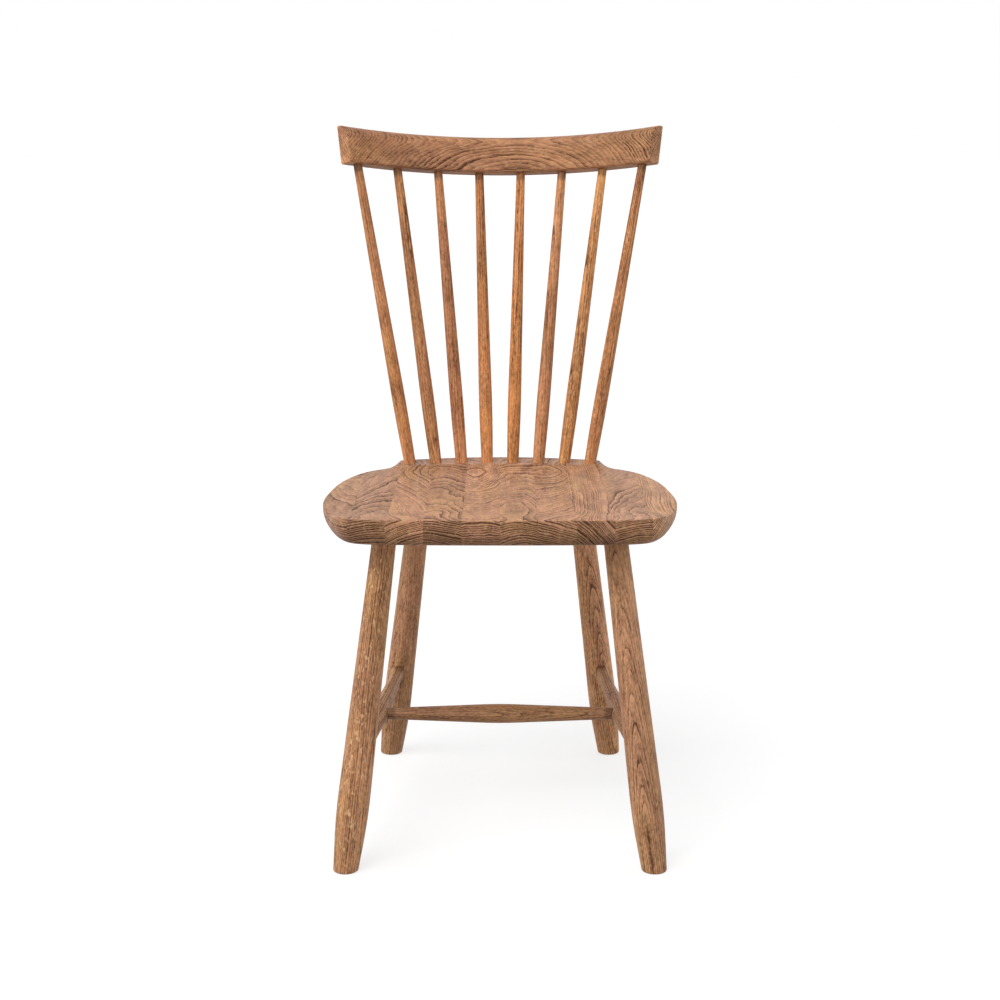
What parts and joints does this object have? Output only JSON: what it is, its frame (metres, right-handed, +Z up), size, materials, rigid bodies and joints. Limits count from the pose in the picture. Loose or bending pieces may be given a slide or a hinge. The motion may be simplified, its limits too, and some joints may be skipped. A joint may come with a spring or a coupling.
{
  "type": "windsor chair",
  "caption": "Wooden dining chair with a dished seat, splayed turned legs joined by an H stretcher, and a back of turned spindles under a curved crest rail.",
  "frame": {"origin": "on the floor, under the middle of the whole chair", "axes": "+Z up; the sitter faces -Y, so -Y is the front of the seat and +Y is the back rest side; +X is on the right when the chair is seen from the front"},
  "size_m": [0.4384, 0.4991, 0.8831],
  "materials": {
    "seat_oak": "oiled, satin",
    "rail_oak": "oiled, satin",
    "turned_oak": "oiled, satin"
  },
  "bodies": {
    "root": {"seat_stave_1": "seat_oak", "seat_stave_2": "seat_oak", "seat_stave_3": "seat_oak", "seat_stave_4": "seat_oak", "seat_stave_5": "seat_oak", "seat_stave_6": "seat_oak", "seat_stave_7": "seat_oak", "seat_stave_8": "seat_oak", "seat_stave_9": "seat_oak", "seat_stave_10": "seat_oak", "crest_rail": "rail_oak", "spindle_1": "turned_oak", "spindle_2": "turned_oak", "spindle_3": "turned_oak", "spindle_4": "turned_oak", "spindle_5": "turned_oak", "spindle_6": "turned_oak", "spindle_7": "turned_oak", "spindle_8": "turned_oak", "leg_front_left": "turned_oak", "leg_front_right": "turned_oak", "leg_rear_left": "turned_oak", "leg_rear_right": "turned_oak", "side_stretcher_left": "turned_oak", "side_stretcher_right": "turned_oak", "cross_stretcher": "turned_oak"}
  },
  "joints": []
}
